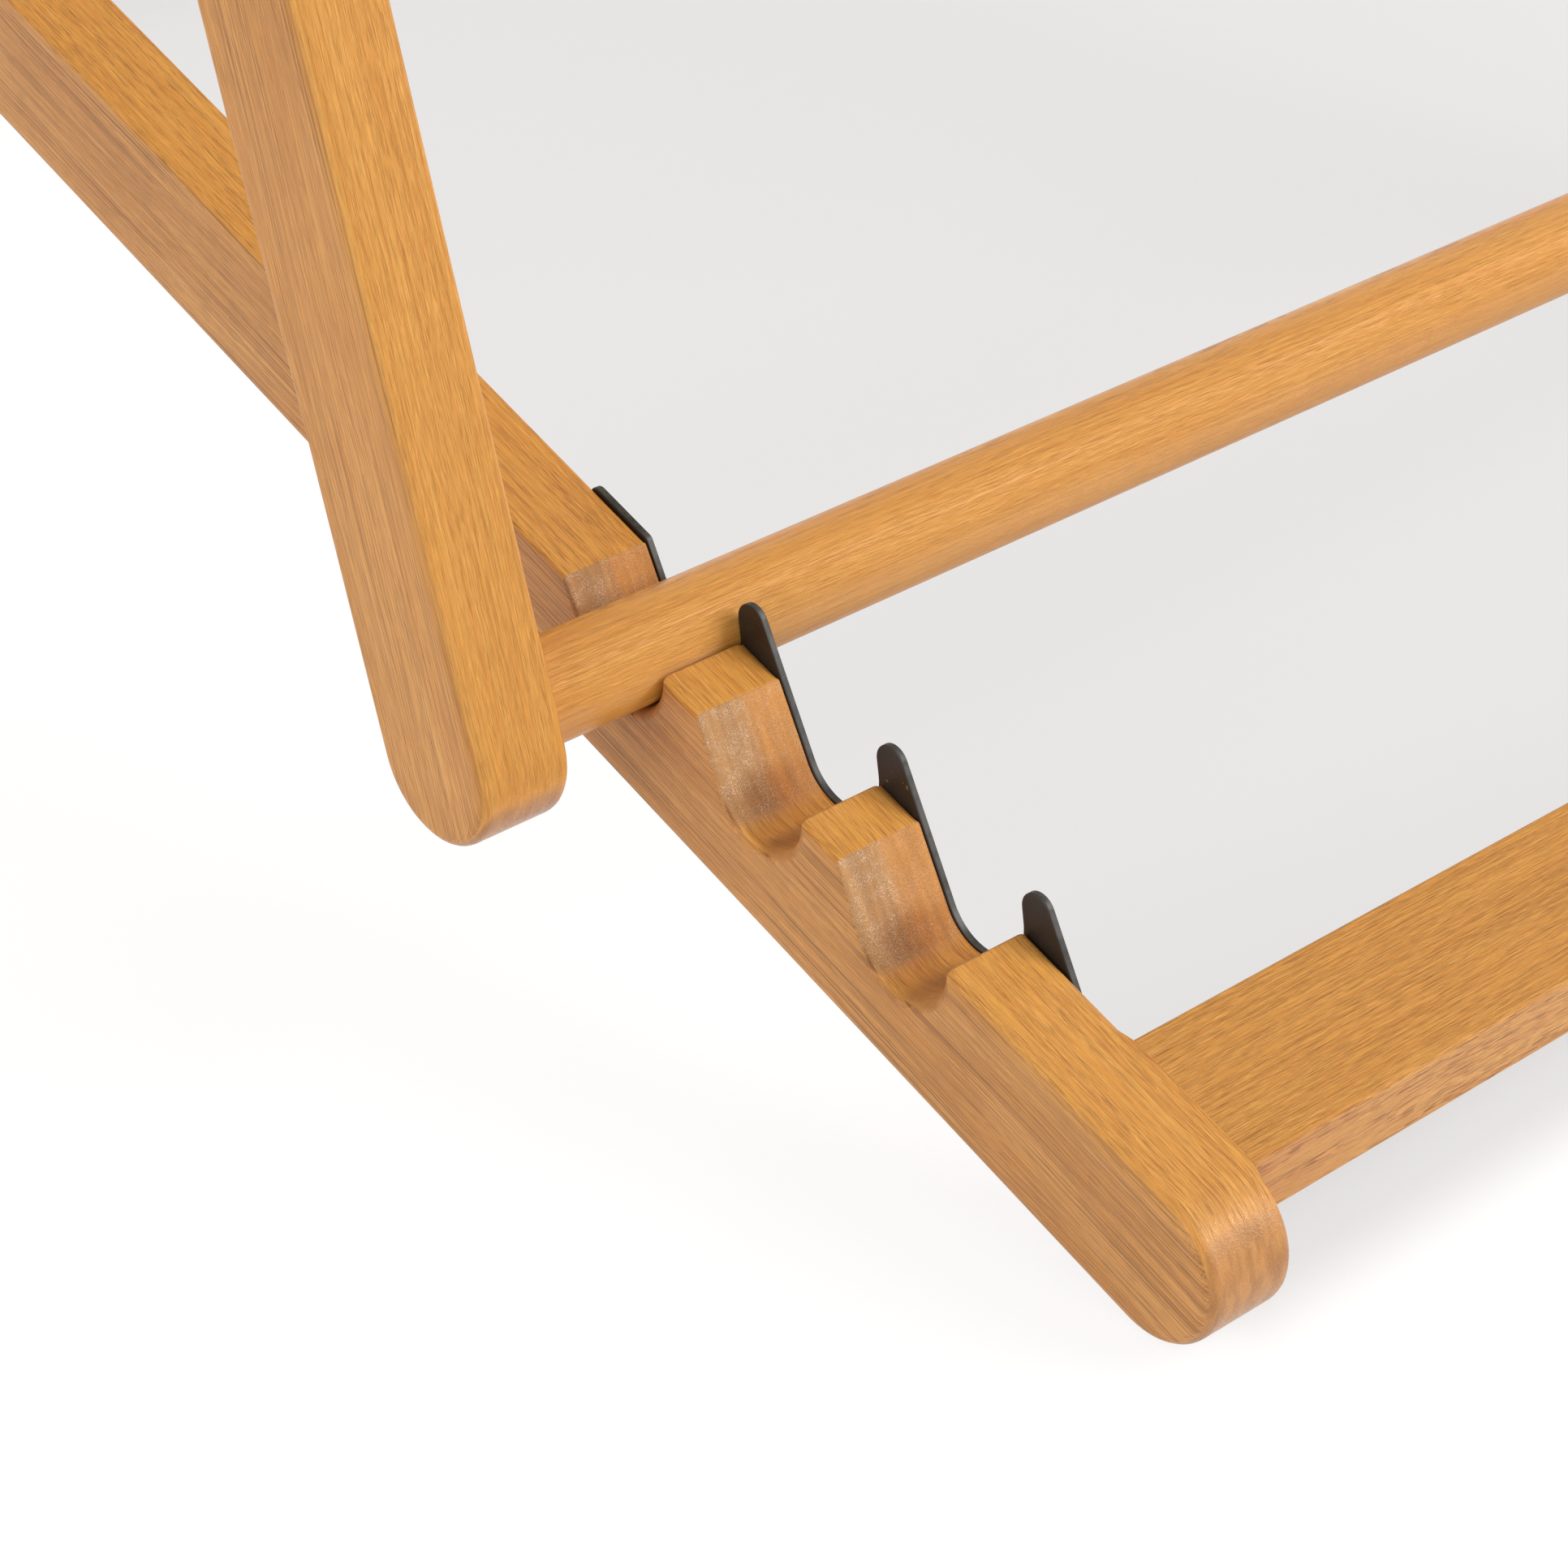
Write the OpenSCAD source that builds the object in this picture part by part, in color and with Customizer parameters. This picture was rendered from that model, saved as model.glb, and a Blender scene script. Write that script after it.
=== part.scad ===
// Folding sling deck chair: a seat frame with a three-notch rack, a back frame hinged to it,
// and a prop frame whose round crossbar drops into the rack. Upright, facing -Y.

/* [Timber] */
// Thickness of every rail and leg, side to side
rail_t = 25; // [18:1:36]
// Depth of every rail and leg, seen from the side
rail_d = 40; // [30:1:60]
// Rounding of the long arrises
arris = 2.7; // [1:0.1:6]
// Diameter of the round crossbars
rod_d = 25.4; // [18:0.1:36]
// Depth that a crossbar is let into a rail
socket = 16; // [8:1:24]

/* [Seat frame] */
// Slope of the seat rails to the floor, in degrees
seat_pitch = 18.5; // [12:0.5:30]
// Seat rail length between the centres of its round ends
seat_len = 1150; // [800:5:1300]
// Clear width between the two seat rails
seat_gap = 520; // [360:5:560]
// Distance from the rear end centre to the flat crossbar's centre
bar_at = 18.8; // [15:0.1:60]
// Flat crossbar's width along the rail
bar_w = 40; // [30:1:70]
// Flat crossbar's thickness
bar_t = 26.5; // [16:0.5:36]
// Step down from the rail's top to the flat crossbar's top
bar_drop = 0; // [0:0.5:4]
// Rounding of the flat crossbar's edges
bar_arris = 1; // [0.5:0.5:5]

/* [Notch rack] */
// Number of notches
notches = 3; // [1:1:5]
// Distance from the rear end centre to the front notch
rack_at = 190.6; // [150:0.1:400]
// Spacing of the notches along the rail
pitch = 51.3; // [40:0.1:80]
// Depth of the notch seat's centre below the rail's top
seat_sink = 4.9; // [2:0.1:12]
// Slope of the notch's front ramp to the rail, in degrees
ramp = 44; // [30:1:60]
// Radius of the notch seat in the wood
wood_r = 13.4; // [10:0.1:20]
// Radius of the notch seat in the plate, a little smaller so the steel takes the wear
plate_r = 12.9; // [10:0.1:20]
// Thickness of the steel plate
plate_t = 1.8; // [1:0.1:4]
// Height of the hooks above the rail's top
hook_rise = 11.4; // [8:0.2:20]
// Radius of the hook's rounded tip
hook_r = 4.7; // [3:0.1:8]
// Length of plate ahead of the front ramp
plate_lead = 21.5; // [10:0.5:50]
// Height of the plate's edge above the rail, ahead of the ramp
plate_proud = 1; // [0.5:0.1:3]
// Depth of the plate's lower edge below the rail's top
plate_skirt = 33; // [26:1:40]

/* [Back frame] */
// Slope of the back rails to the floor, in degrees
back_pitch = 52; // [45:1:65]
// Distance from the front notch to the main pivot
pivot_ahead = 520; // [400:5:600]
// Length of back rail above the main pivot
back_up = 800; // [700:5:1000]
// Space between two frames at a pivot
frame_gap = 3.5; // [2:0.5:6]

/* [Prop frame] */
// Angle between the prop legs and the seat rails, in degrees
prop_lean = 55.5; // [45:0.1:70]
// Length of leg from the round crossbar to the centre of the lower end
prop_foot = 5.8; // [0:0.1:20]

/* [Plate screws] */
// Shank radius
screw_r = 1.75; // [1:0.25:3]
// Shank length, plate included
screw_len = 15; // [10:1:22]
// Head radius
screw_head_r = 3.8; // [2.5:0.1:5]
// Head height
screw_head_h = 2; // [1:0.2:3]
// Height of the screws above the plate's lower edge
screw_up = 6.5; // [5:0.5:10]

/* [Pivot hardware] */
// Bolt shank diameter
bolt_d = 8; // [6:1:12]
// Radial running clearance in a turning rail
run_fit = 0.06; // [0.02:0.01:0.1]
// Bolt head diameter
head_d = 17; // [14:1:26]
// Bolt head height
head_h = 4.4; // [3:0.2:8]
// Washer diameter
washer_d = 22; // [16:1:32]
// Play left beside a washer
play = 0.2; // [0.1:0.05:0.5]
// Cap nut size across flats
nut_af = 13; // [10:1:19]
// Height of the cap nut's hexagon
nut_h = 5; // [4:0.5:9]
// Thickness of the washer under a bolt head
washer_t = 1.6; // [1:0.1:3]

/* [Sling] */
// Width of the cloth
sling_w = 480; // [340:2:520]
// Thickness of the cloth
sling_t = 2; // [1:0.5:4]
// Drop of the hanging cloth below the line between its two bars, measured upright
sling_sag = 300; // [200:5:400]
// Distance from a rail's end centre to the cloth's bar
sling_bar_in = 14.5; // [5:0.5:40]

/* [Hidden] */
$fn = 64;
over = 1;
// edges that meet a circle end this far inside it
tuck = 0.02;
end_r = rail_d / 2;
rod_r = rod_d / 2;
bolt_r = bolt_d / 2;
rail_top = end_r;
plate_gap = 1.5;
screw_edge = 0.8;
screw_slot = 2;
head_dome = head_d * 1.2;
hex_r = 2.9;
nut_dome = 5.2;

// side-to-side places of the three nested frames, all measured on the left
seat_x = seat_gap / 2;
back_x = seat_x + rail_t + frame_gap;
prop_x = back_x + rail_t + frame_gap;
function head_x(x) = x + rail_t + play + washer_t;

// frame origins in the chair's side view: y to the rear, z up
rear = [seat_len * cos(seat_pitch) / 2, end_r];
pivot_s = rack_at + pivot_ahead;
pivot = rear + pivot_s * [-cos(seat_pitch), sin(seat_pitch)];
notch_z = rail_top - seat_sink;
dowel = rear + rack_at * [-cos(seat_pitch), sin(seat_pitch)]
      + notch_z * [sin(seat_pitch), cos(seat_pitch)];
// to the nearest tenth, so that a rail's length and the places of its ends agree
foot_down = round(10 * pivot_s * sin(seat_pitch) / sin(back_pitch)) / 10;

// where the prop legs' line meets the back rails' line
prop_dir = 180 - seat_pitch - prop_lean;
function cross2(a, b) = a[0] * b[1] - a[1] * b[0];
function heading(a) = [cos(a), sin(a)];
link = dowel - pivot;
meet = cross2(heading(back_pitch), heading(prop_dir));
prop_pivot_up = cross2(link, heading(prop_dir)) / meet;
prop_len = round(100 * cross2(link, heading(back_pitch)) / meet) / 100;

// rack geometry in the seat rail's own side view
function notch_y(k) = k * pitch - rack_at;
function ramp_foot(k, r) = [notch_y(k) - r * sin(ramp), notch_z - r * cos(ramp)];
ramp_dir = [-cos(ramp), sin(ramp)];
wood_mouth = sqrt(wood_r * wood_r - seat_sink * seat_sink) - over;
tip_z = rail_top + hook_rise - hook_r;
tip_run = (tip_z - notch_z + (plate_r + hook_r) * cos(ramp)) / sin(ramp);
function tip(k) = ramp_foot(k, plate_r + hook_r) + tip_run * ramp_dir;
// line touching the notch seat behind and the hook tip in front
tip_off = tip(1) - [notch_y(0), notch_z];
hook_turn = atan2(tip_off[1], tip_off[0]) - acos((plate_r + hook_r) / norm(tip_off));
plate_low = rail_top - plate_skirt;
plate_high = rail_top + plate_proud;
plate_back = -bar_at - bar_w / 2 - plate_gap;
function on_ramp(k, z) = ramp_foot(k, plate_r) + (z - ramp_foot(k, plate_r)[1]) / sin(ramp) * ramp_dir;
plate_lead_y = on_ramp(0, plate_high)[0] - plate_lead;
plate_back_z = ramp_foot(notches, plate_r)[1]
             - (plate_back - ramp_foot(notches, plate_r)[0]) * tan(ramp);
screw_z = plate_low + screw_up;
screw_y = [plate_lead_y + screw_up, notch_y(0) + pitch / 2, notch_y(1) + pitch / 2, plate_back - screw_up];

// cloth bars and the curve of the hanging cloth
front_bar = rear + (seat_len - sling_bar_in) * [-cos(seat_pitch), sin(seat_pitch)];
top_bar = pivot + (back_up - sling_bar_in) * heading(back_pitch);
sling_mid = (front_bar + top_bar) / 2 - [0, 2 * sling_sag];
sling_steps = 48;
function hang(t) = (1 - t) * (1 - t) * front_bar + 2 * t * (1 - t) * sling_mid + t * t * top_bar;
function slope(t) = (1 - t) * (sling_mid - front_bar) + t * (top_bar - sling_mid);
function side(t) = [-slope(t)[1], slope(t)[0]] / norm(slope(t)) * sling_t / 2;
hem_gap = 0.4;
hem_r = rod_r + hem_gap + sling_t / 2;
hem_start = hem_r / norm(sling_mid - front_bar) / 2;
hem_end = 1 - hem_r / norm(top_bar - sling_mid) / 2;

timber = [0.80, 0.52, 0.26];
steel = [0.72, 0.72, 0.70];
black = [0.10, 0.10, 0.10];
canvas = [0.88, 0.85, 0.77];

// ---- frames of reference: local y runs along the rail, local z is across it ----
module in_seat() { translate([0, rear[0], rear[1]]) rotate([-seat_pitch, 0, 0]) children(); }
module in_back() { translate([0, pivot[0], pivot[1]]) rotate([back_pitch, 0, 0]) children(); }
module in_prop() { translate([0, dowel[0], dowel[1]]) rotate([prop_dir, 0, 0]) children(); }
module both_sides() { children(); mirror([1, 0, 0]) children(); }

// side view (y, z) drawn in the plane, raised to a slab from x to x + t
module slab(x, t) { translate([x, 0, 0]) rotate([90, 0, 90]) linear_extrude(t) children(); }

// a solid of revolution whose axis is x, profile drawn as (radius, x)
module turned() { rotate([0, 90, 0]) rotate_extrude() children(); }

// ---- timber ----
module round_rect(w, h, r) {
    translate([r, 0]) square([w - 2 * r, h]);
    translate([0, r]) square([w, h - 2 * r]);
    for (x = [r, w - r], y = [r, h - r]) translate([x, y]) circle(r);
}

// half of the stock's section turned through half a circle: a full-round end with its arrises
module rail_end(turn) {
    rotate([0, 0, turn]) rotate([0, -90, 0]) rotate_extrude(angle = 180, $fn = 96)
        intersection() {
            translate([0, -rail_t / 2]) square([rail_d, rail_t]);
            translate([-end_r, -rail_t / 2]) round_rect(rail_d, rail_t, arris);
        }
}

// rail of the stock's section with full-round ends at y0 and y1, less the cuts drawn in its side view
module rail(x, y0, y1) {
    difference() {
        union() {
            translate([x, y1, -end_r])
                rotate([90, 0, 0]) linear_extrude(y1 - y0) round_rect(rail_t, rail_d, arris);
            translate([x + rail_t / 2, y1, 0]) rail_end(0);
            translate([x + rail_t / 2, y0, 0]) rail_end(180);
        }
        slab(x - over, rail_t + 2 * over) children();
    }
}

module across(x, y, r, h) { translate([x, y, 0]) rotate([0, 90, 0]) cylinder(r = r, h = h); }
module bore(x, y, r) { across(x - over, y, r, rail_t + 2 * over); }
module rod_socket(x, y) { across(x - over, y, rod_r, socket + over); }
module round_bar(half, y) { across(-half, y, rod_r, 2 * half); }

// ---- seat frame ----
module wood_notch(k) {
    mouth = ramp_foot(k, wood_r) + 2 * rail_d * ramp_dir;
    translate([notch_y(k), notch_z]) circle(wood_r);
    polygon([ramp_foot(k, wood_r - tuck), mouth, [notch_y(k) + wood_mouth, mouth[1]],
             [notch_y(k) + wood_mouth, rail_top - over], [notch_y(k), notch_z]]);
}

module seat_rear_crossbar() color(timber) in_seat()
    translate([0, -bar_at - bar_w / 2, rail_top - bar_drop - bar_t])
        slab(-seat_x, seat_gap) round_rect(bar_w, bar_t, bar_arris);

module seat_rail_left() color(timber) in_seat() difference() {
    rail(seat_x, -seat_len, 0) for (k = [0 : notches - 1]) wood_notch(k);
    bore(seat_x, -pivot_s, bolt_r);
    rod_socket(seat_x, sling_bar_in - seat_len);
    for (y = screw_y) translate([seat_x - over, y, screw_z])
        rotate([0, 90, 0]) cylinder(r = screw_r, h = screw_len - plate_t + over);
}
module seat_rail_right() mirror([1, 0, 0]) seat_rail_left();

module seat_front_bar() color(timber) in_seat() round_bar(seat_x + socket, sling_bar_in - seat_len);

// ---- notch plates ----
module hook(k) {
    lean = [cos(hook_turn), sin(hook_turn)];
    foot = ramp_foot(k, k < notches ? plate_r - tuck : plate_r);
    polygon([foot, tip(k) + (hook_r - tuck) * [sin(ramp), cos(ramp)], tip(k),
             tip(k) - (hook_r - tuck) * lean, [notch_y(k - 1), notch_z] + (plate_r - tuck) * lean,
             [notch_y(k - 1), notch_z], [notch_y(k - 1), plate_low + arris], [foot[0], plate_low + arris]]);
    translate(tip(k)) circle(hook_r);
}

module plate_outline() {
    lead = plate_lead_y + arris;
    difference() {
        union() {
            polygon([[lead, plate_low], [plate_back - arris, plate_low], [plate_back, plate_low + arris],
                     [plate_back, plate_back_z], ramp_foot(notches, plate_r),
                     ramp_foot(0, plate_r - tuck), on_ramp(0, plate_high), [lead, plate_high]]);
            translate([plate_lead_y, plate_low + arris]) square([arris, plate_high - plate_low - 2 * arris]);
            for (z = [plate_low + arris, plate_high - arris]) translate([lead, z]) circle(arris);
            for (k = [1 : notches]) hook(k);
        }
        for (k = [0 : notches - 1]) translate([notch_y(k), notch_z]) circle(plate_r);
        for (y = screw_y) translate([y, screw_z]) circle(screw_r);
    }
}

module notch_plate_left() color(black) in_seat() slab(seat_x - plate_t, plate_t) plate_outline();
module notch_plate_right() mirror([1, 0, 0]) notch_plate_left();

// pan-head screws through the plate into the rail
module plate_screw() {
    difference() {
        turned() {
            translate([0, -screw_head_h]) square([screw_head_r - screw_edge, screw_head_h]);
            translate([0, screw_edge - screw_head_h]) square([screw_head_r, screw_head_h - screw_edge]);
            translate([screw_head_r - screw_edge, screw_edge - screw_head_h]) circle(screw_edge);
            square([screw_r, screw_len]);
        }
        for (a = [0, 90]) rotate([a, 0, 0])
            translate([-screw_head_h - over, -screw_slot, -screw_slot / 4])
                cube([screw_head_h / 2 + over, 2 * screw_slot, screw_slot / 2]);
    }
}

module notch_plate_screws() color(steel) both_sides() in_seat()
    for (y = screw_y) translate([seat_x - plate_t, y, screw_z]) plate_screw();

// ---- pivot hardware: x is measured outward from the inner face of the inner rail ----
module pivot_bolt(inner, outer) {
    translate([inner - nut_h, 0, 0]) rotate([0, 90, 0]) cylinder(r = bolt_r, h = outer - inner + nut_h);
    translate([outer, 0, 0]) difference() {
        turned() intersection() {
            translate([0, head_h - head_dome]) circle(head_dome);
            square([head_d / 2, head_h]);
        }
        translate([head_h / 2, 0, 0]) rotate([0, 90, 0]) cylinder(r = hex_r, h = head_h, $fn = 6);
    }
}

module washer(x, t) translate([x, 0, 0]) rotate([0, 90, 0]) difference() {
    cylinder(d = washer_d, h = t);
    translate([0, 0, -over]) cylinder(r = bolt_r, h = t + 2 * over);
}

module cap_nut(x) translate([x - nut_h, 0, 0]) difference() {
    union() {
        rotate([0, 90, 0]) cylinder(d = nut_af / cos(30), h = nut_h, $fn = 6);
        turned() intersection() {
            circle(nut_dome);
            translate([0, -nut_dome]) square([nut_dome, nut_dome + over]);
        }
    }
    across(0, 0, bolt_r, nut_h + over);
}

// the main pivot holds the seat rail inside and lets the back rail turn between two washers
module at_main_pivot() { both_sides() translate([0, pivot[0], pivot[1]]) children(); }
module main_pivot_bolts() color(steel) at_main_pivot() pivot_bolt(seat_x, head_x(back_x));
module main_pivot_washers() color(steel) at_main_pivot() pivot_washers(back_x);
module main_pivot_nuts() color(steel) at_main_pivot() cap_nut(seat_x);

// the prop pivot holds the back rail inside and lets the prop leg turn
module at_prop_pivot() { both_sides() in_back() translate([0, prop_pivot_up, 0]) children(); }
module prop_pivot_bolts() color(steel) at_prop_pivot() pivot_bolt(back_x, head_x(prop_x));
module prop_pivot_washers() color(steel) at_prop_pivot() pivot_washers(prop_x);
module prop_pivot_nuts() color(steel) at_prop_pivot() cap_nut(back_x);

module pivot_washers(turning_x) {
    washer(turning_x - frame_gap, frame_gap - play);
    washer(turning_x + rail_t + play, washer_t);
}

// ---- back frame ----
module back_rail_left() color(timber) in_back() difference() {
    rail(back_x, -foot_down, back_up);
    bore(back_x, 0, bolt_r + run_fit);
    bore(back_x, prop_pivot_up, bolt_r);
    rod_socket(back_x, back_up - sling_bar_in);
    rod_socket(back_x, -foot_down);
}
module back_rail_right() mirror([1, 0, 0]) back_rail_left();

module back_top_bar() color(timber) in_back() round_bar(back_x + socket, back_up - sling_bar_in);
module back_foot_bar() color(timber) in_back() round_bar(back_x + socket, -foot_down);

// ---- prop frame ----
module prop_leg_left() color(timber) in_prop() difference() {
    rail(prop_x, -prop_foot, prop_len);
    bore(prop_x, prop_len, bolt_r + run_fit);
    rod_socket(prop_x, 0);
}
module prop_leg_right() mirror([1, 0, 0]) prop_leg_left();

module prop_dowel() color(timber) in_prop() round_bar(prop_x + socket, 0);

// ---- sling: one cloth, hemmed round the front bar and the top bar ----
module hem() difference() {
    circle(hem_r + sling_t / 2);
    circle(hem_r - sling_t / 2);
}

module sling_strip() {
    steps = [for (i = [0 : sling_steps]) hem_start + (hem_end - hem_start) * i / sling_steps];
    back = [for (i = [sling_steps : -1 : 0]) steps[i]];
    polygon(concat([for (t = steps) hang(t) + side(t)], [for (t = back) hang(t) - side(t)]));
}

module sling() color(canvas) union() {
    slab(-sling_w / 2, sling_w) sling_strip();
    for (bar = [front_bar, top_bar]) slab(-sling_w / 2, sling_w) translate(bar) hem();
}

seat_rail_left();
seat_rail_right();
seat_rear_crossbar();
seat_front_bar();
notch_plate_left();
notch_plate_right();
notch_plate_screws();
main_pivot_bolts();
main_pivot_washers();
main_pivot_nuts();
back_rail_left();
back_rail_right();
back_top_bar();
back_foot_bar();
prop_pivot_bolts();
prop_pivot_washers();
prop_pivot_nuts();
prop_leg_left();
prop_leg_right();
prop_dowel();
sling();
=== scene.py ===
import math

import bmesh
import bpy
import numpy as np
from mathutils import Matrix, Vector
from mathutils import noise as mnoise


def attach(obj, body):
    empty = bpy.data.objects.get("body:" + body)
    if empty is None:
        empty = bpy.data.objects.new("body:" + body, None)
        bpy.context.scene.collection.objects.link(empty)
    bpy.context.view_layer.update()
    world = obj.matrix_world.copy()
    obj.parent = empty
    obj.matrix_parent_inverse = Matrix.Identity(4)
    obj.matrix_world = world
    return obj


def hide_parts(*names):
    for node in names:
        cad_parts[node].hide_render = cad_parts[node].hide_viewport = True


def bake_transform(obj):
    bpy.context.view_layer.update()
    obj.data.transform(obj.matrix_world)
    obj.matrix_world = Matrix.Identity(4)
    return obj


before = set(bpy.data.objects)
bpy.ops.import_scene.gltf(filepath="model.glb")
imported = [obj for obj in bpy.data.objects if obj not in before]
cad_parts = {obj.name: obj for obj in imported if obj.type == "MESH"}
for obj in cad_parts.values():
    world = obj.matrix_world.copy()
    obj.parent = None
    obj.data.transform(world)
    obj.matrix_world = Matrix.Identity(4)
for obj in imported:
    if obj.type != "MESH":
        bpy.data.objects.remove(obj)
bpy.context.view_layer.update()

MM = 0.001

# ---------------------------------------------------------------- dimensions, as in the CAD source
RAIL_T, RAIL_D, ARRIS = 25 * MM, 40 * MM, 2.7 * MM
END_R = RAIL_D / 2
ROD_R = 12.7 * MM
SEAT_PITCH, BACK_PITCH = math.radians(18.5), math.radians(52)
PROP_TO_SEAT = math.radians(55.5)
PROP_DIR = math.pi - SEAT_PITCH - PROP_TO_SEAT
SEAT_LEN = 1150 * MM
SEAT_X = 260 * MM
NOTCHES, RACK_AT, PITCH, SINK = 3, 190.6 * MM, 51.3 * MM, 4.9 * MM
RAMP = math.radians(44)
WOOD_R, PLATE_R, PLATE_T = 13.4 * MM, 12.9 * MM, 1.8 * MM
HOOK_RISE, HOOK_R = 11.4 * MM, 4.7 * MM
PLATE_LEAD, PLATE_PROUD, PLATE_SKIRT, PLATE_GAP = 21.5 * MM, 1 * MM, 33 * MM, 1.5 * MM
BAR_AT, BAR_W, BAR_T = 18.8 * MM, 40 * MM, 26.5 * MM
SOCKET = 16 * MM
BACK_UP = 800 * MM
PROP_FOOT = 5.8 * MM
FRAME_GAP = 3.5 * MM
PIVOT_AHEAD = 520 * MM
BAR_IN = 14.5 * MM
SLING_W, SLING_SAG = 480 * MM, 300 * MM

BACK_X = SEAT_X + RAIL_T + FRAME_GAP
PROP_X = BACK_X + RAIL_T + FRAME_GAP
REAR = Vector((0, SEAT_LEN * math.cos(SEAT_PITCH) / 2, END_R))
NOTCH_Z = END_R - SINK


def along(origin, angle, u, v=0.0):
    """A point u along a rail whose side view is turned by angle, and v across it."""
    c, s = math.cos(angle), math.sin(angle)
    return Vector((0, origin.y + u * c - v * s, origin.z + u * s + v * c))


PIVOT_S = RACK_AT + PIVOT_AHEAD
PIVOT = along(REAR, -SEAT_PITCH, -PIVOT_S)
DOWEL = along(REAR, -SEAT_PITCH, -RACK_AT, NOTCH_Z)
FOOT_DOWN = round(PIVOT_S * math.sin(SEAT_PITCH) / math.sin(BACK_PITCH), 4)


def cross2(a, b):
    return a.y * b.z - a.z * b.y


BACK_DIR = along(Vector(), BACK_PITCH, 1)
PROP_AXIS = along(Vector(), PROP_DIR, 1)
PROP_LEN = cross2(DOWEL - PIVOT, BACK_DIR) / cross2(BACK_DIR, PROP_AXIS)
FRONT_BAR = along(REAR, -SEAT_PITCH, BAR_IN - SEAT_LEN)
TOP_BAR = along(PIVOT, BACK_PITCH, BACK_UP - BAR_IN)


# ---------------------------------------------------------------- node helpers
def new_tree(name):
    material = bpy.data.materials.new(name)
    material.use_nodes = True
    tree = material.node_tree
    tree.nodes.clear()
    return material, tree


class Nodes:
    """Short names for the shader nodes that the materials use."""

    def __init__(self, tree):
        self.tree = tree

    def link(self, source, target):
        self.tree.links.new(source, target)

    def put(self, socket, value):
        if isinstance(value, bpy.types.NodeSocket):
            self.link(value, socket)
        else:
            socket.default_value = value

    def math(self, kind, *values):
        n = self.tree.nodes.new("ShaderNodeMath")
        n.operation = kind
        for socket, value in zip(n.inputs, values):
            self.put(socket, value)
        return n.outputs[0]

    def times(self, first, *others):
        for other in others:
            first = self.math("MULTIPLY", first, other)
        return first

    def plus(self, first, *others):
        for other in others:
            first = self.math("ADD", first, other)
        return first

    def minus(self, a, b):
        return self.math("SUBTRACT", a, b)

    def vector_math(self, kind, output, *values):
        n = self.tree.nodes.new("ShaderNodeVectorMath")
        n.operation = kind
        for socket, value in zip(n.inputs, values):
            self.put(socket, value)
        return n.outputs[output]

    def noise(self, vector, scale=1.0, detail=2.0, rough=0.5):
        n = self.tree.nodes.new("ShaderNodeTexNoise")
        self.put(n.inputs["Vector"], vector)
        n.inputs["Scale"].default_value = scale
        n.inputs["Detail"].default_value = detail
        n.inputs["Roughness"].default_value = rough
        return n.outputs[0]

    def span(self, value, a, b, c=0.0, d=1.0, smooth=True):
        """value from a to b becomes c to d, and stops there."""
        n = self.tree.nodes.new("ShaderNodeMapRange")
        n.interpolation_type = "SMOOTHSTEP" if smooth else "LINEAR"
        self.put(n.inputs["Value"], value)
        for key, number in zip(("From Min", "From Max", "To Min", "To Max"), (a, b, c, d)):
            self.put(n.inputs[key], number)
        return n.outputs[0]

    def mix(self, factor, a, b, kind="MIX"):
        n = self.tree.nodes.new("ShaderNodeMix")
        n.data_type = "RGBA"
        n.blend_type = kind
        self.put(n.inputs[0], factor)
        self.put(n.inputs[6], a)
        self.put(n.inputs[7], b)
        return n.outputs[2]

    def shade(self, colour, by):
        """The colour times by, which is a colour or one value for all three channels."""
        if isinstance(by, bpy.types.NodeSocket):
            by = self.combine(by, by, by)
        return self.mix(1.0, colour, by, "MULTIPLY")

    def mix_value(self, factor, a, b):
        n = self.tree.nodes.new("ShaderNodeMix")
        n.data_type = "FLOAT"
        self.put(n.inputs[0], factor)
        self.put(n.inputs[2], a)
        self.put(n.inputs[3], b)
        return n.outputs[0]

    def combine(self, x, y, z):
        n = self.tree.nodes.new("ShaderNodeCombineXYZ")
        for socket, value in zip(n.inputs, (x, y, z)):
            self.put(socket, value)
        return n.outputs[0]

    def separate(self, vector):
        n = self.tree.nodes.new("ShaderNodeSeparateXYZ")
        self.put(n.inputs[0], vector)
        return n.outputs[:3]

    def scaled(self, vector, factors):
        return self.vector_math("MULTIPLY", 0, vector, factors)

    def bump(self, height, distance, strength):
        n = self.tree.nodes.new("ShaderNodeBump")
        self.put(n.inputs["Height"], height)
        n.inputs["Distance"].default_value = distance
        n.inputs["Strength"].default_value = strength
        return n.outputs[0]

    def coords(self, kind="Object"):
        return self.tree.nodes.new("ShaderNodeTexCoord").outputs[kind]

    def mapping(self, vector, kind, location=(0, 0, 0), rotation=(0, 0, 0)):
        n = self.tree.nodes.new("ShaderNodeMapping")
        n.vector_type = kind
        self.put(n.inputs["Vector"], vector)
        if kind != "NORMAL":
            n.inputs["Location"].default_value = location
        n.inputs["Rotation"].default_value = rotation
        return n.outputs[0]

    def surface(self, **values):
        shader = self.tree.nodes.new("ShaderNodeBsdfPrincipled")
        out = self.tree.nodes.new("ShaderNodeOutputMaterial")
        self.link(shader.outputs[0], out.inputs["Surface"])
        for key, value in values.items():
            self.put(shader.inputs[key.replace("_", " ")], value)


def srgb(*channels):
    """Linear colour from sRGB channels of 0 to 255, which have to be past the curve's straight foot."""
    return tuple(((c / 255 + 0.055) / 1.055) ** 2.4 for c in channels) + (1.0,)


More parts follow.
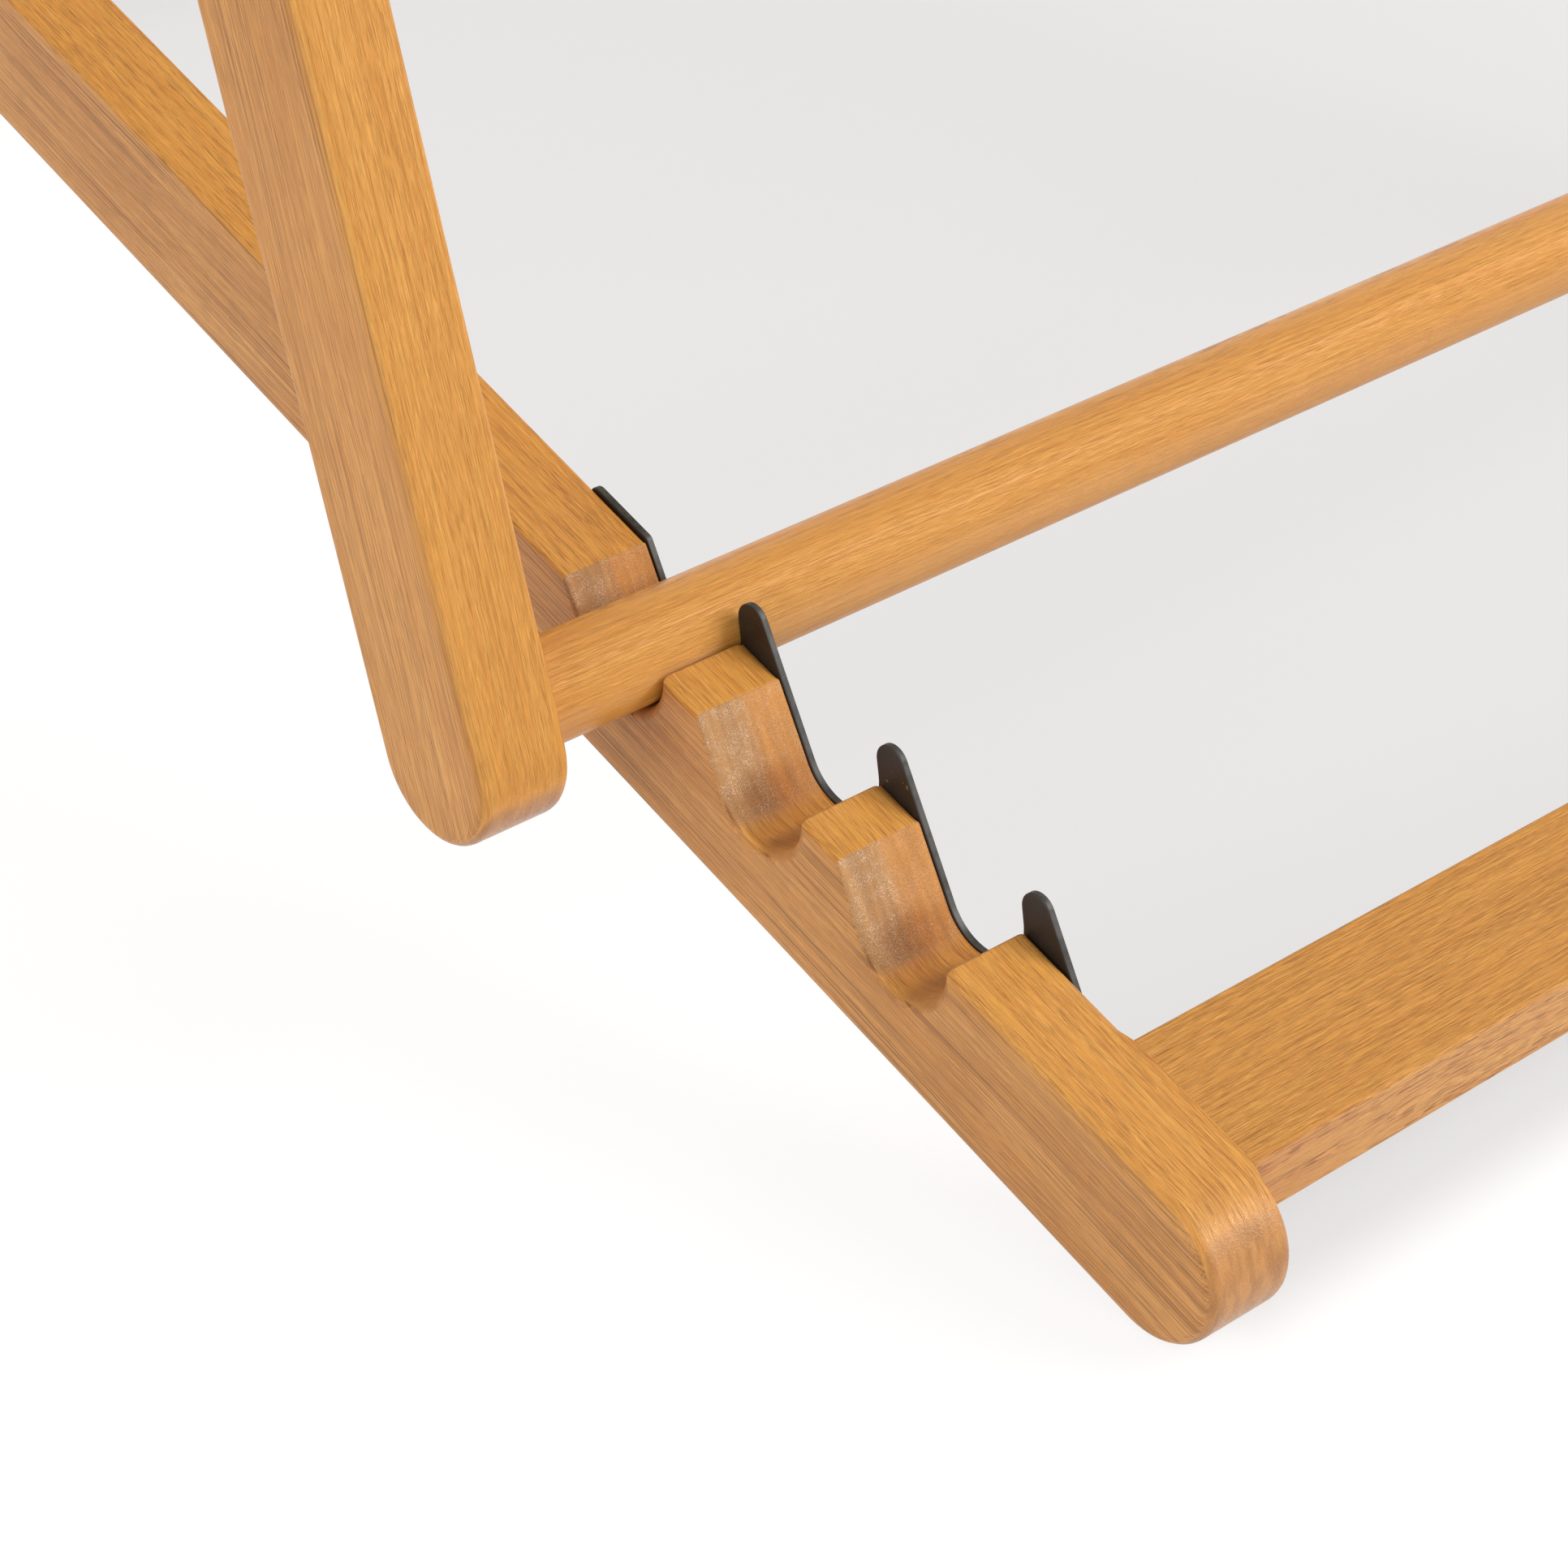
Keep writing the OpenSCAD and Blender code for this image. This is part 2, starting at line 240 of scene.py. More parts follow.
# ---------------------------------------------------------------- oiled hardwood
FLAT_DEEP, FLAT_LIGHT, FLAT_PORE = srgb(223, 150, 61), srgb(232, 166, 76), srgb(142, 82, 36)
# the sides' two tones are a darker, browner copy of the flat faces' tones: painted shade
SHADED_SIDE_DEEP, SHADED_SIDE_LIGHT = srgb(207, 141, 69), srgb(220, 157, 85)
SIDE_LINE, SIDE_HAIR, SIDE_PORE = srgb(151, 97, 43), srgb(148, 94, 41), srgb(118, 72, 34)
END_LIGHT, END_DEEP, END_PORE = srgb(201, 140, 75), srgb(176, 118, 62), srgb(142, 90, 48)
RAW_HEART, RAW_SAP = srgb(212, 146, 76), srgb(188, 140, 89)
# the whitish specks on the milled ramps are a painted sparkle of highlight
RAW_SPARKLE, RAW_PIT = srgb(240, 220, 198), srgb(156, 104, 60)
# how dark the notches get: partly painted shade in their hollows, partly burnish
SHADE_AND_BURNISH = (0.56, 0.42, 0.27, 1)

# The timber's noises. Each is its cycles per metre (along the grain, across the rings, along the rings),
# its detail and its roughness, and for a feature also the two values between which it fades in.
SWAY = (7, 34, 40), 2, 0.5
RING, RING_FADE = ((9, 2500, 160), 0, 0.5, 0.54, 0.60), ((10, 260, 90), 1, 0.5, 0.36, 0.62)
HAIR = (34, 4300, 500), 0, 0.5, 0.54, 0.62
ZONE = (16, 240, 240), 1, 0.5, 0.40, 0.58
DASH, FINE_DASH = ((165, 2250, 2250), 0, 0.5, 0.58, 0.62), ((170, 3500, 3500), 0, 0.5, 0.58, 0.65)
FIBRE = (110, 4600, 4600), 1, 0.6
TONE = (15, 130, 130), 2, 0.6, 0.28, 0.72
SMUDGE = (60, 130, 420), 3, 0.6, 0.34, 0.70
SPECK = (4600, 4200, 4200), 1, 0.6
STRIP = (26, 40, 380), 2, 0.6, 0.30, 0.70
# patches in which the ramps' painted sparkle gathers
SPARKLE_PATCHES = (140, 320, 260), 2, 0.6, 0.36, 0.66
PEBBLE = (1500, 1500, 1500), 1, 0.6

# the rings' bow per metre and sway in metres, and the share of the sway that quarter-sawn sides show
RING_BOW, RING_SWAY, STRAIGHT_SWAY = 9.0, 0.015, 0.4
# roughness: oiled faces, what a dash adds, milled ramps, and the round ends' highest and lowest
OILED, MATT, MILLED_MATT, UNPOLISHED, POLISHED = 0.40, 0.12, 0.72, 0.32, 0.13


def grain_group():
    """Solid texture of oiled hardwood. Vector is (along the grain, across the rings, along the rings) in
    metres and Facing is the surface's normal in the same frame. Quarter is how far the board's sides show
    straight quarter-sawn lines and a darker, browner tone, which is painted shade. Pores is how strong its
    dark dashes are, Milled is 1 where a cut across the grain was left unsanded, and Sap is 1 on its pale
    half.
    The last input is how dark the notches are: partly painted shade in their hollows and partly burnish."""
    tree = bpy.data.node_groups.new("hardwood_grain", "ShaderNodeTree")
    sockets = {"INPUT": (("Vector", "Vector"), ("Facing", "Vector"), ("Quarter", "Float"),
                         ("Pores", "Float"), ("Milled", "Float"), ("Sap", "Float"), ("ShadeAndBurnish", "Float")),
               "OUTPUT": (("Colour", "Color"), ("Roughness", "Float"), ("Height", "Float"))}
    for in_out, pairs in sockets.items():
        for name, kind in pairs:
            tree.interface.new_socket(name, in_out=in_out, socket_type="NodeSocket" + kind)
    k = Nodes(tree)
    given = tree.nodes.new("NodeGroupInput").outputs
    out = tree.nodes.new("NodeGroupOutput").inputs
    place, milled, sap = given["Vector"], given["Milled"], given["Sap"]
    toward_u, _, toward_t = k.separate(given["Facing"])
    facing_u, facing_t = k.math("ABSOLUTE", toward_u), k.math("ABSOLUTE", toward_t)

    def raw_noise(where, per_metre, detail, rough):
        return k.noise(k.scaled(where, per_metre), detail=detail, rough=rough)

    def feature(where, per_metre, detail, rough, start, full, low=0.0, high=1.0):
        return k.span(raw_noise(where, per_metre, detail, rough), start, full, low, high)

    # the rings bend along the plank, so a flat-sawn face shows long arches
    u, r, t = k.separate(place)
    sway = k.times(k.minus(raw_noise(place, *SWAY), 0.5), RING_SWAY)
    bent = k.combine(u, k.plus(r, k.times(t, t, RING_BOW), sway), t)

    # growth rings, seen edge on along the quarter-sawn sides: straight lines that fade in and out
    straight = k.combine(u, k.plus(r, k.times(sway, STRAIGHT_SWAY)), t)
    ring = k.times(feature(straight, *RING), feature(straight, *RING_FADE, 0.35))
    hair = feature(straight, *HAIR)
    # pores: dark dashes along the grain, crowded in some rings and rare in others
    zone = feature(bent, *ZONE, 0.30)
    dash = k.times(feature(bent, *DASH), zone, given["Pores"])
    fine = k.times(feature(bent, *FINE_DASH), given["Pores"])
    fibre = raw_noise(bent, *FIBRE)
    tone = feature(bent, *TONE)

    side = k.times(k.span(facing_t, 0.70, 0.86), given["Quarter"])
    end = k.span(facing_u, k.mix_value(milled, 0.42, 0.10), k.mix_value(milled, 0.62, 0.40))

    # flat-sawn faces: warm orange with dark dashes
    flat = k.mix(tone, FLAT_DEEP, FLAT_LIGHT)
    flat = k.mix(k.times(fine, k.mix_value(zone, 0.12, 0.46)), flat, FLAT_PORE)
    flat = k.mix(k.times(dash, 0.84), flat, FLAT_PORE)
    # quarter-sawn sides, picked by the normal: a darker, browner copy of the wood, which is painted shade,
    # with the straight lines of the grain
    quarter = k.mix(tone, SHADED_SIDE_DEEP, SHADED_SIDE_LIGHT)
    quarter = k.mix(k.times(ring, 0.80), quarter, SIDE_LINE)
    quarter = k.mix(k.times(hair, 0.50), quarter, SIDE_HAIR)
    quarter = k.mix(k.times(fine, 0.22), quarter, SIDE_PORE)
    # sanded end grain: soft smudges along the rings
    speck = raw_noise(place, *SPECK)
    sanded = k.mix(feature(place, *SMUDGE), END_LIGHT, END_DEEP)
    sanded = k.mix(k.times(k.span(speck, 0.44, 0.30), 0.30), sanded, END_PORE)
    # milled ramps: granular, paler on the sapwood half, with whitish specks that are a painted sparkle of
    # highlight
    raw = k.mix(k.times(sap, k.span(tone, 0, 1, 0.75, 1.0)), RAW_HEART, RAW_SAP)
    sparkle = k.times(k.span(speck, 0.50, 0.68), k.plus(k.times(feature(place, *SPARKLE_PATCHES), 0.62), 0.12))
    raw = k.mix(k.times(sparkle, k.span(sap, 0, 1, 0.45, 1.0)), raw, RAW_SPARKLE)
    raw = k.mix(k.times(k.span(speck, 0.48, 0.32), 0.50), raw, RAW_PIT)
    raw = k.shade(raw, feature(place, *STRIP, 0.86, 1.10))
    cut = k.mix(k.times(milled, k.span(toward_u, -0.05, 0.12)), sanded, raw)

    colour = k.shade(k.mix(side, flat, quarter), k.span(fibre, 0.30, 0.70, 0.96, 1.04, smooth=False))
    colour = k.mix(end, colour, cut)
    # darker notch bottoms, partly painted shade and partly burnish, and most of all a painted shadow
    # crescent on their outer rim
    painted_rim_shadow = k.times(k.span(facing_t, 0.74, 0.82), k.span(facing_t, 0.95, 0.90),
                  k.span(given["ShadeAndBurnish"], 0.40, 0.53, 0.0, 1.6))
    shade_and_burnish = k.times(given["ShadeAndBurnish"], k.span(speck, 0.3, 0.7, 1.0, 0.75),
                     k.math("MAXIMUM", k.span(facing_t, 0.66, 0.20, 0.3, 1.0), painted_rim_shadow))
    k.link(k.mix(shade_and_burnish, colour, k.shade(colour, SHADE_AND_BURNISH)), out["Colour"])

    pebbles = raw_noise(place, *PEBBLE)
    polished = k.span(k.plus(speck, pebbles), 0.80, 1.15, UNPOLISHED, POLISHED)
    sheen = k.mix_value(k.span(facing_u, 0.26, 0.44), OILED, polished)
    sheen = k.mix_value(k.times(end, milled), sheen, MILLED_MATT)
    k.link(k.plus(sheen, k.times(dash, MATT), k.times(k.minus(fibre, 0.5), MATT)), out["Roughness"])

    pores = k.plus(k.times(dash, -0.9), k.times(fine, -0.5), k.times(hair, -0.25), k.times(fibre, 0.35))
    crumbs = k.plus(k.times(speck, k.mix_value(milled, 1.0, 2.2)), k.times(pebbles, 1.4))
    k.link(k.mix_value(k.span(facing_u, 0.26, 0.52), pores, crumbs), out["Height"])
    return tree


GRAIN = grain_group()
# which object axes run along the grain, across the rings and along them
RAIL_AXES, BAR_AXES = (1, 2, 0), (0, 2, 1)
# the distance in metres between the timber of one seed and the next
SEED_STEP = (1.37, 0.173, 0.059)
PORE_DEPTH, WOOD_IOR = 0.16 * MM, 1.46
# the cuts in a seat rail are milled forward of this, counted from the centre of its round rear end
MILLED_FROM, MILLED_TO = -60 * MM, -70 * MM
# the pale half's edge, from the rail's middle: where the heartwood ends and where the sapwood is full
SAP_START, SAP_FULL = 4 * MM, 3 * MM


def shade_and_burnish_mask(k, local, middle):
    """How dark the notches are: all of their bottoms a little, partly as painted shade in the hollows and
    partly as burnish, and a smudge low on each ramp more. local is a point in the rail's own frame, and
    middle is the x of the rail's middle."""
    run = k.tree.nodes.new("ShaderNodeMath")
    run.operation = "WRAP"
    for socket, value in zip(run.inputs, (k.plus(local[1], RACK_AT), PITCH / 2, -PITCH / 2)):
        k.put(socket, value)
    from_seat = run.outputs[0]
    bottom = k.times(k.span(local[2], END_R - 9 * MM, END_R - 18 * MM),
                     k.span(k.math("ABSOLUTE", k.plus(from_seat, 2 * MM)), WOOD_R, 8 * MM))
    away = k.combine(k.math("DIVIDE", k.minus(local[0], middle), 1.2), k.plus(from_seat, WOOD_R * 0.55),
                     k.minus(local[2], END_R - 15 * MM))
    smudge = k.span(k.vector_math("LENGTH", 1, away), 9.5 * MM, 2 * MM)
    above_seat = k.span(local[2], NOTCH_Z - WOOD_R - 1.2 * MM, NOTCH_Z - WOOD_R)
    return k.times(k.plus(k.times(bottom, 0.56), k.times(smudge, 0.50)), above_seat,
                   k.span(local[1], MILLED_FROM, MILLED_TO))


def wood(name, origin, angle, axes, seed, quarter=1.0, rack=0, pale=1.0, pores=1.0, gloss=1.0):
    """Hardwood for one piece: its grain runs in the piece's own frame, and seed moves it to other timber.
    rack is 1 or -1 for a seat rail, whose notches are milled and whose outer half, on that side of x, is
    sapwood. pale multiplies the colour, and gloss multiplies the roughness."""
    material, tree = new_tree("wood_" + name)
    k = Nodes(tree)
    turned = (angle, 0, 0)
    local = k.separate(k.mapping(k.coords("Object"), "TEXTURE", origin, turned))
    normal = k.separate(k.mapping(k.coords("Normal"), "TEXTURE", (0, 0, 0), turned))
    place = k.combine(*(local[a] for a in axes))
    place = k.mapping(place, "POINT", [seed * step for step in SEED_STEP])
    group = tree.nodes.new("ShaderNodeGroup")
    group.node_tree = GRAIN
    given = {"Vector": place, "Facing": k.combine(*(normal[a] for a in axes)),
             "Quarter": quarter, "Pores": pores}
    if rack:
        middle = rack * (SEAT_X + RAIL_T * 0.5)
        given["Milled"] = k.span(local[1], MILLED_FROM, MILLED_TO)
        given["Sap"] = k.span(local[0], middle - rack * SAP_START, middle + rack * SAP_FULL)
        # the notches' darkening: partly painted shade in their hollows, partly burnish
        given["ShadeAndBurnish"] = shade_and_burnish_mask(k, local, middle)
    for key, value in given.items():
        k.put(group.inputs[key], value)
    k.surface(Base_Color=k.shade(group.outputs["Colour"], (pale, pale, pale, 1)),
              Roughness=k.times(group.outputs["Roughness"], gloss), IOR=WOOD_IOR,
              Normal=k.bump(group.outputs["Height"], PORE_DEPTH, 0.6))
    return material


# ---------------------------------------------------------------- metals
def black_plate():
    """Black coated sheet steel, rubbed thin on its cut edges, with a little sawdust on it."""
    material, tree = new_tree("black_plate")
    k = Nodes(tree)
    place = k.coords()
    across = k.math("ABSOLUTE", k.separate(k.coords("Normal"))[0])
    mottle = k.noise(place, scale=160, detail=4, rough=0.6)
    dust = k.span(k.noise(place, scale=520, detail=1), 0.735, 0.76)
    face = k.mix(mottle, srgb(29, 24, 20), srgb(40, 34, 29))
    face = k.mix(k.times(dust, 0.7), face, srgb(140, 104, 70))
    rubbed = k.mix(k.span(mottle, 0.35, 0.62), srgb(52, 51, 48), srgb(78, 76, 73))
    edge = k.span(across, 0.75, 0.25)
    k.surface(Base_Color=k.mix(edge, face, rubbed), Metallic=k.times(edge, 0.55),
              Roughness=k.span(mottle, 0.3, 0.7, 0.38, 0.50), IOR=1.5,
              Normal=k.bump(k.noise(place, scale=1400, detail=2), 0.00005, 0.5))
    return material


def zinc_steel():
    """Bright zinc-plated steel for the screws, bolts, washers and nuts."""
    material, tree = new_tree("zinc_steel")
    k = Nodes(tree)
    place = k.coords()
    brushed = k.noise(k.scaled(place, (400, 1600, 1600)), detail=3, rough=0.6)
    cloud = k.noise(place, scale=90, detail=3)
    k.surface(Base_Color=k.mix(cloud, srgb(176, 174, 168), srgb(204, 202, 197)), Metallic=1.0,
              Roughness=k.span(brushed, 0.3, 0.7, 0.26, 0.42), Normal=k.bump(brushed, 0.00003, 0.5))
    return material


# ---------------------------------------------------------------- canvas
CLOTH_T = 1.0 * MM
THREAD = 1.1 * MM
STITCH, SIDE_ROWS, SIDE_FOLD = 3.4 * MM, (4 * MM, 11 * MM), 14 * MM
HEM_TUCK, HEM_TURN, HEM_R = 16 * MM, math.radians(50), ROD_R + 0.4 * MM + CLOTH_T
HEM_OUT = HEM_R / math.cos(HEM_TURN)
HEM_ROWS = HEM_TUCK - 5 * MM, HEM_TUCK - 11 * MM
# along the cloth, from a hem's free edge to the same place on the layer that it is sewn to
HEM_LENGTH = 2 * HEM_TUCK + 2 * math.sqrt(HEM_OUT ** 2 - HEM_R ** 2) + HEM_R * (2 * math.pi - 2 * HEM_TURN)


def canvas(run):
    """Plain-weave cotton canvas, in the cloth's own coordinates: UV in metres along weft and warp. Its long
    edges are folded and sewn with two rows, and so are the hems round the bars."""
    material, tree = new_tree("canvas")
    k = Nodes(tree)
    u, v, _ = k.separate(k.coords("UV"))
    wave_u, wave_v = (k.math("SINE", k.times(x, math.pi / THREAD)) for x in (u, v))
    warp = k.span(k.times(wave_u, wave_v), -0.25, 0.25)
    weave = k.plus(k.times(warp, k.math("ABSOLUTE", wave_u)),
                   k.times(k.minus(1.0, warp), k.math("ABSOLUTE", wave_v)))
    flat = k.combine(u, v, 0.0)
    slub_u, slub_v = (k.noise(k.scaled(flat, per_metre), detail=2, rough=0.6)
                      for per_metre in ((900, 25, 1), (25, 900, 1)))
    slub = k.times(k.plus(slub_u, slub_v), 0.5)
    cloud = k.noise(flat, scale=14, detail=3, rough=0.55)
    colour = k.mix(cloud, srgb(226, 219, 202), srgb(236, 230, 215))
    colour = k.mix(k.span(slub, 0.42, 0.60), colour, srgb(212, 202, 181))
    # darker where the threads dip between their crossings: painted shade between the threads
    colour = k.mix(k.span(weave, 0.55, 0.05, 0.0, 0.55), colour, srgb(176, 164, 141))

    from_side = k.math("MINIMUM", u, k.minus(SLING_W, u))
    from_end = k.math("MINIMUM", v, k.minus(run, v))

    def row(across, along_row, at):
        """Stitches at this distance from an edge, and the dent that the row pulls into the cloth, which also
        gets a painted shadow.
        """
        off = k.math("ABSOLUTE", k.minus(across, at))
        beat = k.math("ABSOLUTE", k.minus(k.math("FRACT", k.math("DIVIDE", along_row, STITCH)), 0.5))
        stitches = k.times(k.span(off, 0.42 * MM, 0.28 * MM), k.span(beat, 0.42, 0.34))
        return stitches, k.span(off, 1.7 * MM, 0.3 * MM)

    sewn, dent_and_shadow = 0.0, 0.0
    for across, along_row, places in ((from_side, v, SIDE_ROWS), (from_end, u, HEM_ROWS),
                                      (from_end, u, [HEM_LENGTH - at for at in HEM_ROWS])):
        for at in places:
            stitches, pull_and_shadow = row(across, along_row, at)
            sewn, dent_and_shadow = k.math("MAXIMUM", sewn, stitches), k.math("MAXIMUM", dent_and_shadow, pull_and_shadow)
    fold = k.span(from_side, SIDE_FOLD + 0.4 * MM, SIDE_FOLD - 0.4 * MM)
    # painted shadow in the dents that the stitch rows pull into the cloth
    colour = k.mix(k.times(dent_and_shadow, 0.30), colour, srgb(170, 158, 134))
    colour = k.mix(sewn, colour, srgb(246, 243, 233))
    height = k.plus(weave, k.times(slub, 0.8), k.times(fold, 1.2), k.times(k.minus(sewn, dent_and_shadow), 1.6))
    k.surface(Base_Color=colour, Roughness=0.88, IOR=1.45, Sheen_Weight=0.15, Sheen_Roughness=0.5,
              Normal=k.bump(height, 0.00035, 0.6))
    return material


# ---------------------------------------------------------------- slabs with rounded edges
def arc(centre, radius, a0, a1, step=4.0):
    """Points of an arc in the side view, from a0 to a1 degrees."""
    n = max(2, round(abs(a1 - a0) / step))
    return [(centre[0] + radius * math.cos(math.radians(a0 + (a1 - a0) * i / n)),
             centre[1] + radius * math.sin(math.radians(a0 + (a1 - a0) * i / n))) for i in range(n + 1)]


def eased(points, corners, step=15.0):
    """The closed outline with some corners turned into small arcs. corners maps an index to a radius."""
    out = []
    for i, p in enumerate(points):
        radius = corners.get(i)
        if not radius:
            out.append(tuple(p))
            continue
        p = np.array(p)
        a, b = np.array(points[i - 1]) - p, np.array(points[(i + 1) % len(points)]) - p
        a, b = a / np.linalg.norm(a), b / np.linalg.norm(b)
        half = math.acos(np.clip(a @ b, -1, 1)) / 2
        centre = p + (a + b) / np.linalg.norm(a + b) * radius / math.sin(half)
        start, stop = p + a * radius / math.tan(half), p + b * radius / math.tan(half)
        a0 = math.atan2(*(start - centre)[::-1])
        turn = math.atan2(*(stop - centre)[::-1]) - a0
        turn = (turn + math.pi) % (2 * math.pi) - math.pi
        n = max(3, round(abs(math.degrees(turn)) / step))
        angles = [a0 + turn * j / n for j in range(n + 1)]
        out += [tuple(centre + radius * np.array((math.cos(a), math.sin(a)))) for a in angles]
    return out


MITRE_LIMIT = 0.35


def outward(points):
    """Outward directions at the points of an anticlockwise outline, long enough to move both edges by 1."""
    p = np.array(points)
    edge = np.roll(p, -1, axis=0) - p
    edge /= np.linalg.norm(edge, axis=1)[:, None]
    normal = np.stack([edge[:, 1], -edge[:, 0]], axis=1)
    both = normal + np.roll(normal, 1, axis=0)
    both /= np.linalg.norm(both, axis=1)[:, None]
    return both / (both * normal).sum(axis=1)[:, None].clip(MITRE_LIMIT)


def distance_to(points, outline):
    """Distance of each point from the closed outline."""
    a = np.array(outline)
    b = np.roll(a, -1, axis=0)
    ab = b - a
    p = np.array(points)[:, None, :]
    share = ((p - a) * ab).sum(-1) / (ab * ab).sum(-1).clip(1e-18)
    near = a + share.clip(0, 1)[..., None] * ab
    return np.linalg.norm(p - near, axis=-1).min(axis=1)


TINY = 1e-7


def mitre(p, moved, first, last):
    """Where the edges on either side of the points first to last meet, once both are moved inward."""
    before, after = (first - 1) % len(p), (last + 1) % len(p)
    start, stop = moved[before], moved[after]
    edge_in, edge_out = p[first % len(p)] - p[before], p[after] - p[last % len(p)]
    middle = (start + stop) / 2
    matrix = np.array([edge_in, -edge_out]).T
    if abs(np.linalg.det(matrix)) <= 1e-12:
        return middle
    corner = start + np.linalg.solve(matrix, stop - start)[0] * edge_in
    too_far = np.linalg.norm(corner - middle) > 3 * np.linalg.norm(stop - start) + 0.1 * MM
    return middle if too_far else corner


def inset(outline, normals, depth):
    """The outline moved inward by depth at each point. Points that would cross over share their mitre."""
    p = np.array(outline)
    moved = p - normals * depth[:, None]
    good = distance_to(moved, outline) > depth * 0.97 - TINY
    count = len(p)
    i = first = int(np.argmax(good))
    while i < first + count:
        j = i
        while not good[j % count]:
            j += 1
        if j > i:
            corner = mitre(p, moved, i, j - 1)
            for m in range(i, j):
                moved[m % count] = corner
        i = max(j, i + 1)
    return moved


def mesh_object(name, bm, material, smooth=True):
    mesh = bpy.data.meshes.new(name)
    bm.to_mesh(mesh)
    bm.free()
    if smooth:
        mesh.shade_smooth()
    obj = bpy.data.objects.new(name, mesh)
    bpy.context.scene.collection.objects.link(obj)
    mesh.materials.append(material)
    return obj


EDGE_STEPS = 4
SUPPORT = 0.7 * MM
WELD = 1e-6


def slab(name, outline, x0, x1, low_r, high_r, origin, angle, material):
    """A board between x0 and x1 whose side view is the outline. low_r and high_r are the rounding of its
    edges at x0 and x1, one number for each point. SUPPORT is the width of the faces beside each rounding."""
    normals = outward(outline)
    low_r, high_r = np.array(low_r), np.array(high_r)
    support = min(SUPPORT, 0.2 * (x1 - x0))
    rings = []
    for edge_x, inward, radius in ((x0, 1, low_r), (x1, -1, high_r)):
        side = [(inset(outline, normals, radius + support), np.full(len(outline), edge_x))]
        for step in range(EDGE_STEPS, -1, -1):
            a = math.pi / 2 * step / EDGE_STEPS
            ring = inset(outline, normals, radius * (1 - math.cos(a)))
            side.append((ring, edge_x + inward * radius * (1 - math.sin(a))))
        side.append((np.array(outline), edge_x + inward * (radius + support)))
        rings += side if inward == 1 else side[::-1]
    bm = bmesh.new()
    c, s = math.cos(angle), math.sin(angle)
    layers = []
    for ring, xs in rings:
        layers.append([bm.verts.new((x, origin.y + y * c - z * s, origin.z + y * s + z * c))
                       for (y, z), x in zip(ring, xs)])
    count = len(outline)
    for a, b in zip(layers, layers[1:]):
        for i in range(count):
            j = (i + 1) % count
            bm.faces.new((a[i], b[i], b[j], a[j]))
    bm.faces.new(layers[0])
    bm.faces.new(layers[-1][::-1])
    bmesh.ops.remove_doubles(bm, verts=bm.verts, dist=WELD)
    bmesh.ops.dissolve_degenerate(bm, dist=WELD, edges=bm.edges)
    bmesh.ops.recalc_face_normals(bm, faces=bm.faces)
    obj = mesh_object(name, bm, material)
    weighted = obj.modifiers.new("weighted", "WEIGHTED_NORMAL")
    weighted.weight = 60
    weighted.keep_sharp = False
    return obj


# ---------------------------------------------------------------- timber outlines
def stadium(y0, y1):
    return arc((y1, 0), END_R, -90, 90, 5) + arc((y0, 0), END_R, 90, 270, 5)


def notch_y(k):
    return k * PITCH - RACK_AT


def ramp_foot(k, r):
    return np.array((notch_y(k) - r * math.sin(RAMP), NOTCH_Z - r * math.cos(RAMP)))


RAMP_DIR = np.array((-math.cos(RAMP), math.sin(RAMP)))


def on_ramp(k, r, z):
    foot = ramp_foot(k, r)
    return foot + (z - foot[1]) / math.sin(RAMP) * RAMP_DIR


MOUTH_EASE, TOOTH_EASE = 0.9 * MM, 1.6 * MM


def seat_rail_outline():
    """The seat rail's side view, with the corners of its teeth eased."""
    mouth = math.degrees(math.asin(SINK / WOOD_R))
    points, corners = arc((0, 0), END_R, -90, 90, 5), {}
    for k in range(NOTCHES - 1, -1, -1):
        corners[len(points)] = MOUTH_EASE
        points += arc((notch_y(k), NOTCH_Z), WOOD_R, mouth, -90 - math.degrees(RAMP), 5)
        corners[len(points)] = TOOTH_EASE
        points.append(tuple(on_ramp(k, WOOD_R, END_R)))
    points += arc((-SEAT_LEN, 0), END_R, 90, 270, 5)
    return eased(points, corners)


RAMP_EDGE, RAMP_FADE, PLATE_SIDE_EDGE = 0.6 * MM, 0.15, 0.4 * MM


def seat_edges(outline):
    """Rounding of the seat rail's outer and inner edges: crisp on the ramps and beside the plates, and
    almost none where the crossbar is glued."""
    outer, inner = [], []
    for y, z in outline:
        r = ARRIS
        in_rack = z > -END_R / 2
        for k in range(NOTCHES):
            top, foot = on_ramp(k, WOOD_R, END_R), ramp_foot(k, WOOD_R)
            share = (y - top[0]) / (foot[0] - top[0])
            if -RAMP_FADE < share < 1.0 and in_rack and z < END_R + 1e-6:
                fade = max(0.0, -share / RAMP_FADE, (share - 1) / RAMP_FADE + 1)
                r = min(r, RAMP_EDGE + 2.4 * MM * fade)
        outer.append(r)
        if in_rack and notch_y(0) - 2 * WOOD_R < y < notch_y(NOTCHES - 1) + 1.5 * WOOD_R:
            r = min(r, ARRIS - (ARRIS - PLATE_SIDE_EDGE) * float(np.clip((END_R - z) / (3 * MM), 0, 1)))
        if z > 0:
            from_bar = abs(y + BAR_AT) - BAR_W / 2
            r = min(r, ARRIS * float(np.clip((from_bar + 1 * MM) / (5 * MM), 0.05, 1)))
        inner.append(r)
    return outer, inner


